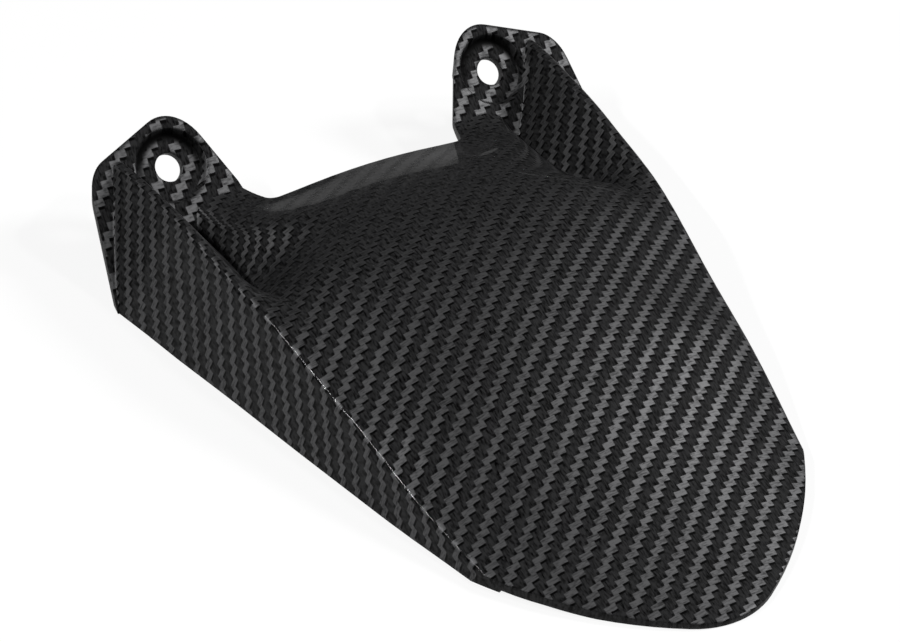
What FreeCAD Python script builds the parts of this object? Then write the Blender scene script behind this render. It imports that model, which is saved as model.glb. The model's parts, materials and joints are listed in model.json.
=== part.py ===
import FreeCAD, Part
import os
import Sketcher

# Shock absorber guard: one moulded sheet, resting on its rim.
# X runs across, Y from the tip towards the bolt ears, Z up; millimetres.

Vector = FreeCAD.Vector
doc = FreeCAD.newDocument("shock_guard")
sheet = doc.addObject("Spreadsheet::Sheet", "Sizes")

SIZES = {
    # sheet and ridge
    "sheet_t": 2.0,
    "ridge_radius": 1.6,
    # softness of the lines in the skin, as distances between control points
    "pleat_soft": 2.5,
    # trim outline in plan
    "apex_y": -85.2,
    "apex_radius": 20.0,
    "tip_side_radius": 84.0,
    "tip_end_x": 43.4,
    "tip_end_y": -45.1,
    "clear_x": 74.0,
    "strip_x": 65.8,
    "strip_y": 54.4,
    "shoulder_x": 61.6,
    "shoulder_y": 77.7,
    "shoulder_radius": 7.0,
    "crest_x": 37.0,
    "crest_y": 85.1,
    "crest_radius": 9.5,
    "throat_x": 28.4,
    "throat_y": 69.7,
    "rear_x": 25.0,
    "rear_y": 60.4,
    "rear_radius": 3.0,
    # bolt ears
    "ear_slope": 43.0,
    "ear_foot_y": 55.0,
    "hole_x": 42.3,
    "hole_run": 27.5,
    "hole_d": 6.5,
    "recess_d": 15.0,
    "recess_flare": 1.0,
    "recess_depth": 1.7,
    "boss_wall": 1.4,
    # tool sizes, larger than the part
    "skirt": 18.0,
    "tool_high": 100.0,
    "tool_wide": 80.0,
    "tool_back": 20.0,
    "tool_long": 90.0,
    "tool_thick": 45.0,
}

# Cross-sections of the skin, from the tip to behind the ears: place along Y,
# height of the crown, ridge across and up, and lean of the side wall (run for each
# unit of fall).
SECTIONS = {
    "nose": (-93.1, -1.8, 32.0, -6.6, 0.30),
    "lip": (-71.1, 4.0, 37.0, -1.2, 0.30),
    "corner": (-51.1, 9.6, 40.2, 3.0, 0.20),
    "fore": (-33.1, 16.2, 43.7, 7.2, 0.26),
    "mid": (-13.1, 22.8, 46.3, 12.4, 0.32),
    "waist": (6.9, 27.0, 48.9, 17.6, 0.33),
    "brow": (20.9, 27.5, 50.6, 21.0, 0.34),
    "pocket": (34.9, 25.2, 51.4, 23.4, 0.41),
    "deep": (46.9, 21.4, 52.1, 24.5, 0.465),
    "edge": (58.9, 16.2, 52.8, 24.6, 0.54),
    "bend": (69.9, 12.6, 53.5, 24.5, 0.535),
    "heel": (80.9, 10.0, 54.0, 22.8, 0.56),
}

# Corner pockets, each as places across and up: shelf of the panel, pleat and valley.
POCKETS = {
    "brow": (20.0, 26.4, 33.0, 24.4, 43.4, 20.2),
    "pocket": (17.0, 24.3, 28.0, 22.4, 43.0, 13.2),
    "deep": (20.0, 20.4, 32.5, 18.8, 41.8, 10.0),
    "edge": (25.0, 14.0, 38.2, 14.6, 41.8, 7.4),
    "bend": (27.0, 12.2, 41.5, 13.2, 44.0, 5.8),
    "heel": (28.0, 10.6, 44.0, 11.4, 46.0, 4.0),
}

POCKET_KEYS = ("shelf_x", "shelf_z", "pleat_x", "pleat_z", "valley_x", "valley_z")

# Places of the plain sections' control points, as shares of the way to the ridge.
CROWN_SHARES = (0.22, 0.42, 0.58, 0.70)


def fill_sheet():
    rows = dict(SIZES)
    for name, values in SECTIONS.items():
        for key, value in zip(("y", "crown", "ridge_x", "ridge_z", "lean"), values):
            rows[name + "_" + key] = value
    for name, values in POCKETS.items():
        for key, value in zip(POCKET_KEYS, values):
            rows[name + "_" + key] = value
    for row, (alias, value) in enumerate(rows.items(), start=1):
        sheet.set("A%d" % row, alias)
        sheet.set("B%d" % row, repr(value))
        sheet.setAlias("B%d" % row, alias)
    doc.recompute()


def cell(name):
    return "Sizes." + name


def size(name):
    return sheet.get(name)


def towards(a, b, step):
    """Point expressions a moved by step in the direction of b."""
    span = "hypot(%s - (%s); %s - (%s))" % (b[0], a[0], b[1], a[1])
    return tuple("%s + (%s) * (%s - (%s)) / %s" % (a[i], step, b[i], a[i], span) for i in (0, 1))


def on_crown(x, crown, end):
    """Point on the arched top, level at the middle and running through end."""
    return x, "%s + (%s - %s) * ((%s) / (%s)) ^ 2" % (crown, end[1], crown, x, end[0])


def section_poles(name):
    """Control points of one section's right half, from the middle to the foot."""
    own = lambda key: cell(name + "_" + key)
    ridge = own("ridge_x"), own("ridge_z")
    crown, lean = own("crown"), own("lean")
    poles = [("0", crown)]
    if name in POCKETS:
        shelf = own("shelf_x"), own("shelf_z")
        pleat = own("pleat_x"), own("pleat_z")
        valley = own("valley_x"), own("valley_z")
        poles.append(on_crown(shelf[0] + " / 2", crown, shelf))
        poles.append(shelf)
        poles.append(towards(pleat, shelf, cell("pleat_soft")))
        poles.append(towards(pleat, valley, cell("pleat_soft")))
    else:
        for share in CROWN_SHARES:
            poles.append(on_crown("%g * %s" % (share, ridge[0]), crown, ridge))
        valley = tuple("(%s + %s) / 2" % pair for pair in zip(poles[-1], ridge))
    poles.append(valley)
    poles.append(ridge)
    poles.append(("%s + (%s + %s) * %s" % (ridge[0], ridge[1], cell("skirt"), lean), "-" + cell("skirt")))
    return poles


def section_sketch(label, station, poles):
    """Closed sketch across the part at a station, each control point bound.

    In order: left wall, inner wall, panel, inner wall, right wall, and a line below the floor."""
    sketch = doc.addObject("Sketcher::SketchObject", label)
    places = [Vector(*(float(sketch.evalExpression(term)) for term in pole)) for pole in poles]
    panel = Part.BSplineCurve()
    panel.buildFromPoles(places[2:-2], False, 3)
    sketch.addGeometry(panel, False)
    for start, end in ((-3, -2), (-2, -1), (-1, 0), (0, 1), (1, 2)):
        sketch.addGeometry(Part.LineSegment(places[start], places[end]), False)
    sides = len(sketch.Geometry)
    sketch.exposeInternalGeometry(0)
    holders = [(4, 1), (5, 1)] + [(sides + n, 3) for n in range(len(poles) - 4)] + [(2, 1), (3, 1)]
    ties = [Sketcher.Constraint("Coincident", n, 2, (n + 1) % sides, 1) for n in range(sides)]
    terms = []
    for number, (place, pole) in enumerate(zip(places, poles)):
        for kind, axis, value, term in zip(("DistanceX", "DistanceY"), "xz", place, pole):
            tie = Sketcher.Constraint(kind, -1, 1, *holders[number], value)
            tie.Name = "%s%d" % (axis, number)
            ties.append(tie)
            terms.append((tie.Name, term))
    sketch.addConstraint(ties)
    for name, term in terms:
        sketch.setExpression("Constraints." + name, term)
    sketch.Placement = FreeCAD.Placement(Vector(), FreeCAD.Rotation(Vector(1, 0, 0), 90))
    sketch.setExpression("Placement.Base.y", cell(station + "_y"))
    return sketch


def outer_section(name):
    right = section_poles(name)
    left = [("-(%s)" % x, z) for x, z in right[:0:-1]]
    return section_sketch("outer_" + name, name, left + right)


def inner_section(name):
    """The same section one sheet thickness further in, each leg moved square to itself."""
    def leg(a, b):
        known = "outer_%s.Constraints." % name
        run = "(%sx%d - %sx%d)" % (known, b, known, a)
        rise = "(%sz%d - %sz%d)" % (known, b, known, a)
        length = "hypot(%s; %s)" % (run, rise)
        return "%s / %s" % (run, length), "%s / %s" % (rise, length)

    count = 2 * len(section_poles(name)) - 1
    legs = [leg(number, number + 1) for number in range(count - 1)]
    poles = []
    for number, (before, after) in enumerate(zip(legs[:1] + legs, legs + legs[-1:])):
        reach = "%s * 1 mm / (1 + %s * %s + %s * %s)" % (
            cell("sheet_t"), before[0], after[0], before[1], after[1])
        x, z = ("outer_%s.Constraints.%s%d" % (name, axis, number) for axis in "xz")
        poles.append(("%s + (%s + %s) * %s" % (x, before[1], after[1], reach),
                      "%s - (%s + %s) * %s" % (z, before[0], after[0], reach)))
    return section_sketch("inner_" + name, name, poles)


def fused(label, *shapes):
    joint = doc.addObject("Part::MultiFuse", label)
    joint.Shapes = list(shapes)
    return joint


def cut(label, base, tool):
    result = doc.addObject("Part::Cut", label)
    result.Base, result.Tool = base, tool
    return result


def place_on_ear(thing, x, run, depth):
    """Put a tool's frame on the ear plane: across, up the slope, and below the face."""
    slope = cell("ear_slope")
    thing.Placement = FreeCAD.Placement(Vector(), FreeCAD.Rotation(Vector(1, 0, 0), 1))
    thing.setExpression("Placement.Rotation.Angle", slope)
    thing.setExpression("Placement.Base.x", x)
    thing.setExpression("Placement.Base.y", "%s + (%s) * cos(%s) + (%s) * sin(%s)" % (
        cell("ear_foot_y"), run, slope + " * 1 deg", depth, slope + " * 1 deg"))
    thing.setExpression("Placement.Base.z", "(%s) * sin(%s) - (%s) * cos(%s)" % (
        run, slope + " * 1 deg", depth, slope + " * 1 deg"))


def ear_block(label, depth):
    """Everything under the plane of the ears, lowered by depth."""
    block = doc.addObject("Part::Box", label)
    block.setExpression("Length", "2 * " + cell("tool_wide"))
    block.setExpression("Width", cell("tool_long"))
    block.setExpression("Height", cell("tool_thick"))
    place_on_ear(block, "-" + cell("tool_wide"), "-" + cell("tool_back"),
                 "%s + %s" % (cell("tool_thick"), depth))
    return block


def loft(label, sections):
    """Smooth body through the sections."""
    body = doc.addObject("Part::Loft", label)
    body.Sections = sections
    body.Solid = True
    body.Ruled = False
    return body


def corner(name):
    return cell(name + "_x"), cell(name + "_y")


def upright_edges(shape, x, y):
    """Names of a solid's upright edges at a place in plan, and at its mirror place."""
    names = []
    for number, edge in enumerate(shape.Edges, start=1):
        ends = [vertex.Point for vertex in edge.Vertexes]
        upright = len(ends) == 2 and abs(abs(ends[0].z - ends[1].z) - edge.Length) < 1e-6
        if upright and abs(abs(ends[0].x) - x) < 1e-3 and abs(ends[0].y - y) < 1e-3:
            names.append("Edge%d" % number)
    return names


def trim_body():
    """Upright prism on the floor with the outline of the guard seen from above."""
    body = doc.addObject("PartDesign::Body", "trim")
    plane = next(item for item in body.Origin.OriginFeatures if item.Role == "XY_Plane")
    sketch = body.newObject("Sketcher::SketchObject", "trim_outline")
    sketch.AttachmentSupport = [(plane, "")]
    sketch.MapMode = "FlatFace"
    right = [corner("tip_end"), (cell("clear_x"), cell("strip_y"))]
    right += [corner(name) for name in ("strip", "shoulder", "crest", "throat", "rear")]
    left = [("-" + x, y) for x, y in reversed(right)]
    terms = [("0", cell("apex_y"))] + right + left
    places = [Vector(*(float(sketch.evalExpression(term)) for term in pair)) for pair in terms]
    count = len(places)
    for number in range(count):
        start, end = places[number], places[(number + 1) % count]
        if number in (0, count - 1):
            radius, chord = size("tip_side_radius"), end - start
            sag = radius - (radius ** 2 - chord.Length ** 2 / 4) ** 0.5
            out = Vector(chord.y, -chord.x, 0).normalize()
            sketch.addGeometry(Part.Arc(start, (start + end) / 2 + out * sag, end), False)
        else:
            sketch.addGeometry(Part.LineSegment(start, end), False)
    ties = [Sketcher.Constraint("Coincident", n, 2, (n + 1) % count, 1) for n in range(count)]
    bound = []
    for number, (place, pair) in enumerate(zip(places, terms)):
        for kind, axis, value, term in zip(("DistanceX", "DistanceY"), "xy", place, pair):
            tie = Sketcher.Constraint(kind, -1, 1, number, 1, value)
            tie.Name = "%s%d" % (axis, number)
            ties.append(tie)
            bound.append((tie.Name, term))
    for number, name in ((0, "right_side"), (count - 1, "left_side")):
        tie = Sketcher.Constraint("Radius", number, size("tip_side_radius"))
        tie.Name = name
        ties.append(tie)
        bound.append((name, cell("tip_side_radius")))
    sketch.addConstraint(ties)
    for name, term in bound:
        sketch.setExpression("Constraints." + name, term)
    pad = body.newObject("PartDesign::Pad", "trim_prism")
    pad.Profile = sketch
    pad.setExpression("Length", cell("tool_high"))
    doc.recompute()
    rounds = [("apex", 0.0, size("apex_y"))]
    rounds += [(name, size(name + "_x"), size(name + "_y")) for name in ("shoulder", "crest", "rear")]
    for name, x, y in rounds:
        before = body.Tip
        rounding = body.newObject("PartDesign::Fillet", name + "_round")
        rounding.Base = (before, upright_edges(before.Shape, x, y))
        rounding.setExpression("Radius", cell(name + "_radius"))
        doc.recompute()
    return body


def ridge_edges(body):
    """Numbers of a lofted body's two edges along the ridges, from the tip to the heel."""
    first = next(iter(SECTIONS))
    x, y, z = (size(first + key) for key in ("_ridge_x", "_y", "_ridge_z"))
    numbers = []
    for number, edge in enumerate(body.Edges, start=1):
        for vertex in edge.Vertexes:
            at_ridge = Vector(abs(vertex.X), vertex.Y, vertex.Z).distanceToPoint(Vector(x, y, z)) < 1e-3
            if at_ridge and edge.BoundBox.YLength > 1:
                numbers.append(number)
    return numbers


def bolt_tools(side, sign):
    """Boss, sunken seat and hole of one ear, on the axis square to the ear's face."""
    across, run = sign + cell("hole_x"), cell("hole_run")
    seat_r = cell("recess_d") + " / 2"
    depth, thick, flare = cell("recess_depth"), cell("sheet_t"), cell("recess_flare")
    boss = doc.addObject("Part::Cone", "boss_" + side)
    boss.setExpression("Radius1", "%s + %s" % (seat_r, cell("boss_wall")))
    boss.setExpression("Radius2", "%s + %s + %s" % (seat_r, cell("boss_wall"), flare))
    boss.setExpression("Height", depth)
    place_on_ear(boss, across, run, "%s + %s" % (depth, thick))
    seat = doc.addObject("Part::Cone", "seat_" + side)
    seat.setExpression("Radius1", seat_r)
    seat.setExpression("Radius2", "%s + %s * 2" % (seat_r, flare))
    seat.setExpression("Height", depth + " * 2")
    place_on_ear(seat, across, run, depth)
    hole = doc.addObject("Part::Cylinder", "hole_" + side)
    hole.setExpression("Radius", cell("hole_d") + " / 2")
    hole.setExpression("Height", "%s + %s * 3" % (depth, thick))
    place_on_ear(hole, across, run, "%s + %s * 2" % (depth, thick))
    return boss, [seat, hole]


fill_sheet()

# Two stacks of sections, one sheet thickness apart.
outer_sections = [outer_section(name) for name in SECTIONS]
doc.recompute()
inner_sections = [inner_section(name) for name in SECTIONS]

# Everything under the outer skin, with its ridges rounded, and under the ear faces.
under_skin = loft("under_skin", outer_sections)
doc.recompute()
rounded = doc.addObject("Part::Fillet", "rounded")
rounded.Base = under_skin
rounded.Edges = [(n, size("ridge_radius"), size("ridge_radius")) for n in ridge_edges(under_skin.Shape)]
outer = fused("outer", rounded, ear_block("ear_face", "0"))

# The hollow below leaves the sheet, then the bosses behind the bolt seats.
hollow = fused("hollow", loft("under_inner_skin", inner_sections),
               ear_block("ear_back", cell("sheet_t")))
shell = cut("shell", outer, hollow)
left_boss, left_cuts = bolt_tools("left", "-")
right_boss, right_cuts = bolt_tools("right", "")
bossed = fused("bossed", shell, left_boss, right_boss)
trim = trim_body()
trimmed = doc.addObject("Part::MultiCommon", "trimmed")
trimmed.Shapes = [bossed, trim]
guard = cut("guard_shell", trimmed, fused("bolt_cuts", *(left_cuts + right_cuts)))
doc.recompute()

for item in doc.Objects:
    if "Invalid" in item.State or "Error" in item.State:
        raise RuntimeError("%s did not build: %s" % (item.Label, item.State))
if guard.Shape.isNull() or not guard.Shape.isValid() or len(guard.Shape.Solids) != 1:
    raise RuntimeError("the guard is not one sound solid")

os.makedirs("parts", exist_ok=True)
guard.Shape.exportStep("parts/guard_shell.step")
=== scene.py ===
"""Shock absorber guard: one moulded sheet with a woven print under a glossy clear coat."""

import json
from math import radians

import bpy
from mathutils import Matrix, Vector

bl_info = {
    "name": "Shock Absorber Guard",
    "version": (1, 0, 0),
    "blender": (4, 5, 0),
    "location": "3D View > Sidebar > Guard",
    "description": "Dresses the guard's moulded shell and sets its studio",
    "category": "Object",
}

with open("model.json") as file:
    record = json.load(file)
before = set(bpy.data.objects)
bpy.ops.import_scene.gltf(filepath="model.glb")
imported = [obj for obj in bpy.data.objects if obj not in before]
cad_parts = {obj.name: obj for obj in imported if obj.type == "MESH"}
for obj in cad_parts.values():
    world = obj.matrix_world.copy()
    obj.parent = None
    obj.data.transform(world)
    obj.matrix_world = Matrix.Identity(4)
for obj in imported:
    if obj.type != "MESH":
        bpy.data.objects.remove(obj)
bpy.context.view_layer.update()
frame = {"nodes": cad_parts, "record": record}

SHELL = "guard_shell"
BOLT = frame["record"]["mounts"][0]

BLACK = (0.0, 0.0, 0.0, 1.0)
WHITE = (1.0, 1.0, 1.0, 1.0)

# Each pair below is a soft edge: the value at which a mask begins and the value at which it is full

# Faces of the shell, by how far their normal points outwards, inwards or up
WALL_FACING = (0.45, 0.75)
POCKET_FACING = (0.5, 0.8)
TOP_FACING = (0.03, 0.1)

# Light blocks of the twill, in tows: one to every four tows of a row, a tow further on in each row
REPEAT = 4.0
BLOCK_START = (0.0, 0.14)
BLOCK_END = (1.56, 1.72)
BLOCK_FOOT = (0.0, 0.1)
BLOCK_TOP = (0.9, 1.0)

# Where a block joins the block of the row before and the block of the row after
FOOT_JOIN_END = (0.56, 0.7)
TOP_JOIN_START = (0.9, 1.1)
TOP_JOIN_FOOT = (0.5, 0.6)

# Dark slit past the far end of a block with the block's shadow painted in it, and a fainter painted shade
# before its near end
SLIT_SHADOW_START = (1.58, 1.74)
SLIT_SHADOW_END = (2.4, 2.75)
SLIT_SHADOW_FOOT = (0.58, 0.74)
NICK_SHADE_START = (3.5, 3.8)
NICK_SHADE_TOP = (0.35, 0.6)
NICK_SHADE_DEPTH = 0.8

# Unevenness of the tows: noise scale for each metre, and width in tows
WANDER_DETAIL = 1.0
ACROSS_SCALE = 420.0
ACROSS_WIDTH = 0.3
ALONG_SCALE = 510.0
ALONG_WIDTH = 0.28

# Fibres: noise drawn out along a tow, for each metre, and how it shades the tow's colour
FIBRE_DETAIL = 2.0
WEFT_FIBRE = (700.0, 2900.0, 900.0)
WEFT_CONTRAST = 2.1
WEFT_BASE = -0.2
TINT_SPREAD = 0.26
WARP_FIBRE = (2500.0, 640.0, 900.0)
WARP_CONTRAST = 3.0
WARP_BASE = -0.8

# Shading under the coat
TOW_ROUGHNESS = 0.55
TOW_SPECULAR = 0.04
TOW_SPECULAR_TINT = (0.25, 0.25, 0.25, 1.0)
EDGE_SAMPLES = 8

# Lamps: place and size; the stage's properties hold their power
LAMPS = {
    "key": ((0.70, -0.19, 0.61), (0.18, 0.18)),
    "top": ((0.42, -0.33, 0.77), (0.12, 0.05)),
    "rim": ((-0.62, 0.13, 0.70), (0.34, 0.014)),
}

# Floor just below the part, and the share of its glow in its white
FLOOR_LEVEL = -0.0001
FLOOR_ROUGHNESS = 0.9
FLOOR_GLOW = 0.85

SENSOR_WIDTH = 36.0
CLIP_START = 0.01


class GuardFinish(bpy.types.PropertyGroup):
    """Sizes and colours of the woven print and its clear coat."""

    tow_across: bpy.props.FloatProperty(
        name="Tow pitch across", description="Width of one lengthwise tow of the print",
        default=0.00170, subtype="DISTANCE", unit="LENGTH", precision=5)
    tow_along: bpy.props.FloatProperty(
        name="Tow pitch along", description="Width of one crosswise tow of the print",
        default=0.00131, subtype="DISTANCE", unit="LENGTH", precision=5)
    light_tow: bpy.props.FloatVectorProperty(
        name="Light tow", description="Colour of the crosswise tows where they lie on top",
        default=(0.094, 0.094, 0.096), subtype="COLOR", size=3, min=0.0, max=1.0)
    dark_tow: bpy.props.FloatVectorProperty(
        name="Dark tow", description="Colour of the lengthwise tows between them",
        default=(0.0205, 0.0205, 0.021), subtype="COLOR", size=3, min=0.0, max=1.0)
    # this colour paints the shadow in the slits, and the painted shade in the bolt recesses
    slit_and_shade: bpy.props.FloatVectorProperty(
        name="Slit", description="Colour of the dark slits at the ends of the tows",
        default=(0.0012, 0.0012, 0.0012), subtype="COLOR", size=3, min=0.0, max=1.0)
    ridge_height: bpy.props.FloatProperty(
        name="Ridge height", description="Height of the side ridges at the part's origin",
        default=0.0158, subtype="DISTANCE", unit="LENGTH", precision=5)
    ridge_rise: bpy.props.FloatProperty(
        name="Ridge rise", description="Rise of the side ridges for each unit of length", default=0.25)
    ridge_top: bpy.props.FloatProperty(
        name="Ridge top", description="Height at which the side ridges level out",
        default=0.0245, subtype="DISTANCE", unit="LENGTH", precision=5)
    wall_wrap: bpy.props.FloatProperty(
        name="Wall wrap", description="Print drawn down the outer walls for each unit of depth",
        default=0.7)
    pocket_wrap: bpy.props.FloatProperty(
        name="Pocket wrap", description="Print drawn into the corner pockets for each unit of depth",
        default=0.4)
    recess_floor: bpy.props.FloatProperty(
        name="Recess floor", description="Radius at which the shade of a bolt recess begins",
        default=0.0052, subtype="DISTANCE", unit="LENGTH", precision=5)
    recess_wall: bpy.props.FloatProperty(
        name="Recess wall", description="Radius at which the shade of a bolt recess is deepest",
        default=0.0072, subtype="DISTANCE", unit="LENGTH", precision=5)
    recess_lip: bpy.props.FloatProperty(
        name="Recess lip", description="Radius at which the shade of a bolt recess ends",
        default=0.0086, subtype="DISTANCE", unit="LENGTH", precision=5)
    coat_weight: bpy.props.FloatProperty(
        name="Coat weight", description="Strength of the clear coat's gloss",
        default=0.12, min=0.0, max=1.0, subtype="FACTOR")
    coat_roughness: bpy.props.FloatProperty(
        name="Coat roughness", description="Roughness of the clear coat",
        default=0.05, min=0.0, max=1.0, subtype="FACTOR")
    edge_radius: bpy.props.FloatProperty(
        name="Edge radius", description="How far the shading of rims and folds is rounded",
        default=0.0012, subtype="DISTANCE", unit="LENGTH", precision=5)


class GuardStage(bpy.types.PropertyGroup):
    """Floor, lamps and camera."""

    floor_size: bpy.props.FloatProperty(
        name="Floor size", description="Side of the floor",
        default=6.0, subtype="DISTANCE", unit="LENGTH")
    floor_tone: bpy.props.FloatVectorProperty(
        name="Floor tone", description="Colour of the floor",
        default=(0.9, 0.9, 0.9), subtype="COLOR", size=3, min=0.0, max=1.0)
    world_tone: bpy.props.FloatVectorProperty(
        name="World tone", description="Colour of the light from all around",
        default=(0.04, 0.04, 0.042), subtype="COLOR", size=3, min=0.0, max=1.0)
    key_power: bpy.props.FloatProperty(
        name="Key power", description="Power of the soft box at the right", default=7.0, unit="POWER")
    top_power: bpy.props.FloatProperty(
        name="Top power", description="Power of the soft box overhead", default=2.4, unit="POWER")
    rim_power: bpy.props.FloatProperty(
        name="Rim power", description="Power of the soft box that lights the ridge",
        default=5.6, unit="POWER")
    lens: bpy.props.FloatProperty(
        name="Lens", description="Focal length of the camera, in millimetres", default=115.31)
    camera_place: bpy.props.FloatVectorProperty(
        name="Camera place", description="Where the camera stands",
        default=(-0.288647, -0.370460, 0.403838), subtype="TRANSLATION", unit="LENGTH", precision=5)
    camera_turn: bpy.props.FloatVectorProperty(
        name="Camera turn", description="Turn of the camera about X, Y and Z",
        default=(radians(50.0355), radians(-4.7087), radians(-32.2882)), subtype="EULER", unit="ROTATION")


class Wire:
    """A shader socket that takes part in Python arithmetic."""

    def __init__(self, tree, socket=None):
        self.tree = tree
        self.socket = socket

    def node(self, kind, settings=None, inputs=None, out=0):
        """Add a node: its settings first, then the values or wires of its inputs."""
        made = self.tree.nodes.new("ShaderNode" + kind)
        for key, value in (settings or {}).items():
            setattr(made, key, value)
        for key, value in (inputs or {}).items():
            if isinstance(value, Wire):
                value.feed(made.inputs[key])
            else:
                made.inputs[key].default_value = value
        return Wire(self.tree, made.outputs[out])

    def feed(self, socket):
        """Link this wire to an input."""
        self.tree.links.new(self.socket, socket)

    def output(self, name):
        """Another output of the node that this wire leaves."""
        return Wire(self.tree, self.socket.node.outputs[name])

    def math(self, operation, *values):
        return self.node("Math", {"operation": operation}, dict(enumerate(values)))

    def __add__(self, other):
        return self.math("ADD", self, other)

    def __radd__(self, other):
        return self.math("ADD", other, self)

    def __sub__(self, other):
        return self.math("SUBTRACT", self, other)

    def __rsub__(self, other):
        return self.math("SUBTRACT", other, self)

    def __mul__(self, other):
        return self.math("MULTIPLY", self, other)

    def __rmul__(self, other):
        return self.math("MULTIPLY", other, self)

    def __truediv__(self, other):
        return self.math("DIVIDE", self, other)

    def __rtruediv__(self, other):
        return self.math("DIVIDE", other, self)

    def __abs__(self):
        return self.math("ABSOLUTE", self)

    def sign(self):
        return self.math("SIGN", self)

    def root(self):
        return self.math("SQRT", self)

    def floor(self):
        return self.math("FLOOR", self)

    def fract(self):
        return self.math("FRACT", self)

    def wrap(self, high):
        """Repeat from 0 to high."""
        return self.math("WRAP", self, high, 0.0)

    def least(self, other):
        return self.math("MINIMUM", self, other)

    def most(self, other):
        return self.math("MAXIMUM", self, other)

    def parts(self):
        """The three numbers of a vector."""
        split = self.node("SeparateXYZ", inputs={"Vector": self})
        return [split.output(axis) for axis in "XYZ"]

    def ramp(self, low, high):
        """0 below low, 1 above high, with a smooth step between."""
        return self.node("MapRange", {"interpolation_type": "SMOOTHSTEP"}, {0: self, 1: low, 2: high})

    def blend(self, low, high):
        """Colour low where this wire is 0 and high where it is 1; a Mix node takes them at 6 and 7."""
        return self.node("Mix", {"data_type": "RGBA"}, {0: self, 6: low, 7: high}, out=2)

    def noise(self, scale, detail):
        """Soft noise over this vector, about a half."""
        return self.node("TexNoise", inputs={"Vector": self, "Scale": scale, "Detail": detail})

    def wander(self, scale, width):
        """Slow noise of that width, about 0."""
        return (self.noise(scale, WANDER_DETAIL) - 0.5) * width

    def fibre(self, stretch):
        """Noise over this vector, drawn out along a tow."""
        drawn = self.node("Mapping", inputs={"Vector": self, "Scale": stretch})
        return drawn.noise(1.0, FIBRE_DETAIL)


def new_material(name):
    """Fresh node material: returns it, its shader node and a wire to start from."""
    material = bpy.data.materials.new(name)
    material.use_nodes = True
    tree = material.node_tree
    return material, tree.nodes["Principled BSDF"], Wire(tree)


def rgba(colour):
    return (colour[0], colour[1], colour[2], 1.0)


def recess_shade(x, y, z, look):
    """Mask of the painted shade under the upper lip of each bolt recess, strongest on its upper side; it
    darkens the print in colour only.
    """
    centre = BOLT["pos_m"]
    axis = BOLT["axis"]
    aside = abs(x) - abs(centre[0])
    rise = (y - centre[1]) * axis[2] - (z - centre[2]) * axis[1]
    reach = (aside * aside + rise * rise).root()
    wall = reach.ramp(look.recess_floor, look.recess_wall)
    lip = reach.ramp(look.recess_wall, look.recess_lip)
    return wall * (1.0 - lip) * rise.ramp(-look.recess_floor, look.recess_floor)


def drawn_print(x, y, z, outwards, look):
    """Crosswise place in the print, which runs on from the ridges down the walls and into the pockets."""
    side = x.sign()
    ridge = (look.ridge_height + y * look.ridge_rise).least(look.ridge_top)
    wall = (outwards * side).ramp(*WALL_FACING)
    pocket = (outwards * side * -1.0).ramp(*POCKET_FACING)
    drawn = wall * look.wall_wrap - pocket * look.pocket_wrap
    return x + side * (ridge - z).most(0.0) * drawn


def light_blocks(step, height):
    """Mask of the crosswise tows where they lie on top, each joined to its neighbours' corners."""
    length = step.ramp(*BLOCK_START) * (1.0 - step.ramp(*BLOCK_END))
    foot = height.ramp(*BLOCK_FOOT).most(1.0 - step.ramp(*FOOT_JOIN_END))
    top_join = step.ramp(*TOP_JOIN_START) * height.ramp(*TOP_JOIN_FOOT)
    top = (1.0 - height.ramp(*BLOCK_TOP)).most(top_join)
    return length * top * foot


def painted_slit_shadows(step, height):
    """Mask of the painted shadow in the slit past the far end of each block, and of the fainter painted
    shade before its near end.
    """
    slit_and_shade = step.ramp(*SLIT_SHADOW_START) * (1.0 - step.ramp(*SLIT_SHADOW_END)) * height.ramp(*SLIT_SHADOW_FOOT)
    nick_shade = step.ramp(*NICK_SHADE_START) * (1.0 - height.ramp(*NICK_SHADE_TOP)) * NICK_SHADE_DEPTH
    return slit_and_shade.most(nick_shade)


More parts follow.
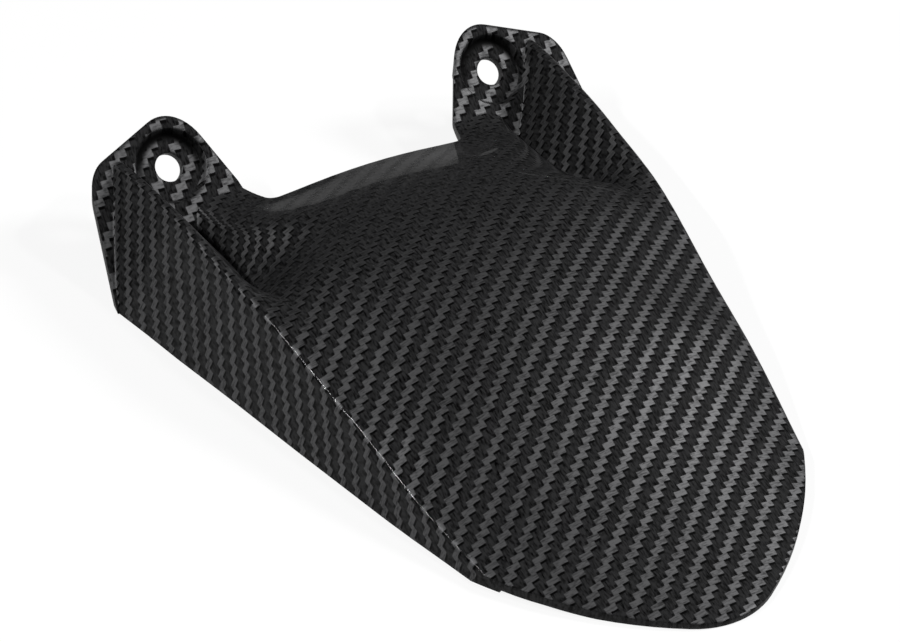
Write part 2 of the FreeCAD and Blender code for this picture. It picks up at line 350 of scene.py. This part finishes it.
def woven_coat(look):
    """Two-by-two twill in plan, as a print under clear coat."""
    material, shader, start = new_material("woven_print")
    place = start.node("TexCoord", out="Object")
    x, y, z = place.parts()
    outwards, _, upwards = place.output("Normal").parts()
    # painted shade: the print is darkened in a ring under the upper lip of each bolt recess
    painted_recess_shade = recess_shade(x, y, z, look)
    across = drawn_print(x, y, z, outwards, look) / look.tow_across
    along = y / look.tow_along + place.wander(ALONG_SCALE, ALONG_WIDTH)
    row = along.floor()
    height = along.fract()
    shifted = across + place.wander(ACROSS_SCALE, ACROSS_WIDTH) - row
    step = shifted.wrap(REPEAT)
    # the upright cut rim of the sheet shows no light blocks
    printed = abs(upwards).ramp(*TOP_FACING)
    # no light blocks inside the painted recess shade
    light = light_blocks(step, height) * printed * (1.0 - painted_recess_shade)
    # the slit colour lays painted shadow in the slits and painted shade in the bolt recesses, where there
    # is no light block
    slit_and_shade = painted_slit_shadows(step, height).most(painted_recess_shade).least(1.0 - light)
    block = start.node("CombineXYZ", inputs={"X": row, "Y": (shifted / REPEAT).floor()})
    tint = start.node("TexWhiteNoise", {"noise_dimensions": "2D"}, {"Vector": block})
    weft_tone = place.fibre(WEFT_FIBRE) * WEFT_CONTRAST + WEFT_BASE + (tint - 0.5) * TINT_SPREAD
    warp_tone = place.fibre(WARP_FIBRE) * WARP_CONTRAST + WARP_BASE
    weft = weft_tone.blend(BLACK, rgba(look.light_tow))
    warp = warp_tone.blend(BLACK, rgba(look.dark_tow))
    slit_and_shade.blend(light.blend(warp, weft), rgba(look.slit_and_shade)).feed(shader.inputs["Base Color"])
    light.feed(shader.inputs["Metallic"])
    rounded = start.node("Bevel", {"samples": EDGE_SAMPLES}, {"Radius": look.edge_radius})
    rounded.feed(shader.inputs["Normal"])
    shader.inputs["Roughness"].default_value = TOW_ROUGHNESS
    shader.inputs["Specular IOR Level"].default_value = TOW_SPECULAR
    shader.inputs["Specular Tint"].default_value = TOW_SPECULAR_TINT
    shader.inputs["Coat Weight"].default_value = look.coat_weight
    shader.inputs["Coat Roughness"].default_value = look.coat_roughness
    return material


def floor_paper(tone):
    """White paper: it glows for the eye and for mirrors, and still takes the part's shadow."""
    material, shader, start = new_material("floor_paper")
    shader.inputs["Base Color"].default_value = rgba(tone)
    shader.inputs["Roughness"].default_value = FLOOR_ROUGHNESS
    path = start.node("LightPath", out="Is Camera Ray")
    seen = path.most(path.output("Is Glossy Ray")).most(path.output("Is Transmission Ray"))
    glow = start.node("Emission", inputs={"Color": WHITE, "Strength": 1.0})
    paper = Wire(start.tree, shader.outputs["BSDF"])
    mixed = start.node("MixShader", inputs={0: seen * FLOOR_GLOW, 1: paper, 2: glow})
    mixed.feed(start.tree.nodes["Material Output"].inputs["Surface"])
    return material


def soft_box(name, place, size, power):
    """Rectangular area lamp that faces the part's origin."""
    bpy.ops.object.light_add(type="AREA", location=place)
    lamp = bpy.context.object
    lamp.name = name
    lamp.data.shape = "RECTANGLE"
    lamp.data.size, lamp.data.size_y = size
    lamp.data.energy = power
    lamp.rotation_euler = (-Vector(place)).to_track_quat("-Z", "Y").to_euler()


class GUARD_OT_shell_finish(bpy.types.Operator):
    """Give the moulded shell its woven print and clear coat"""

    bl_idname = "guard.shell_finish"
    bl_label = "Finish shell"

    def execute(self, context):
        shell = frame["nodes"][SHELL]
        shell.data.materials.clear()
        shell.data.materials.append(woven_coat(context.scene.guard_finish))
        return {"FINISHED"}


class GUARD_OT_stage(bpy.types.Operator):
    """Lay the floor and set the lamps and the camera"""

    bl_idname = "guard.stage"
    bl_label = "Set stage"

    def execute(self, context):
        setting = context.scene.guard_stage
        bpy.ops.mesh.primitive_plane_add(size=setting.floor_size, location=(0.0, 0.0, FLOOR_LEVEL))
        floor = context.object
        floor.name = "floor"
        floor.data.materials.append(floor_paper(setting.floor_tone))

        world = bpy.data.worlds.new("studio")
        world.use_nodes = True
        world.node_tree.nodes["Background"].inputs["Color"].default_value = rgba(setting.world_tone)
        context.scene.world = world
        for name, (place, size) in LAMPS.items():
            soft_box(name, place, size, getattr(setting, name + "_power"))

        bpy.ops.object.camera_add(location=setting.camera_place, rotation=setting.camera_turn)
        camera = context.object
        camera.name = "camera"
        camera.data.sensor_width = SENSOR_WIDTH
        camera.data.lens = setting.lens
        camera.data.clip_start = CLIP_START
        context.scene.camera = camera
        context.scene.view_settings.view_transform = "Standard"
        return {"FINISHED"}


class GUARD_PT_panel(bpy.types.Panel):
    """Sidebar list of the guard's sizes and steps"""

    bl_label = "Shock absorber guard"
    bl_idname = "GUARD_PT_panel"
    bl_space_type = "VIEW_3D"
    bl_region_type = "UI"
    bl_category = "Guard"

    def draw(self, context):
        for group, step in (("guard_finish", "guard.shell_finish"), ("guard_stage", "guard.stage")):
            box = self.layout.box()
            values = getattr(context.scene, group)
            for key in values.bl_rna.properties.keys():
                if key not in ("name", "rna_type"):
                    box.prop(values, key)
            box.operator(step)


CLASSES = (GuardFinish, GuardStage, GUARD_OT_shell_finish, GUARD_OT_stage, GUARD_PT_panel)


def register():
    for each in CLASSES:
        bpy.utils.register_class(each)
    bpy.types.Scene.guard_finish = bpy.props.PointerProperty(type=GuardFinish)
    bpy.types.Scene.guard_stage = bpy.props.PointerProperty(type=GuardStage)


def unregister():
    del bpy.types.Scene.guard_stage
    del bpy.types.Scene.guard_finish
    for each in reversed(CLASSES):
        bpy.utils.unregister_class(each)


def main():
    register()
    bpy.ops.guard.shell_finish()
    bpy.ops.guard.stage()


if __name__ == "__main__":
    main()
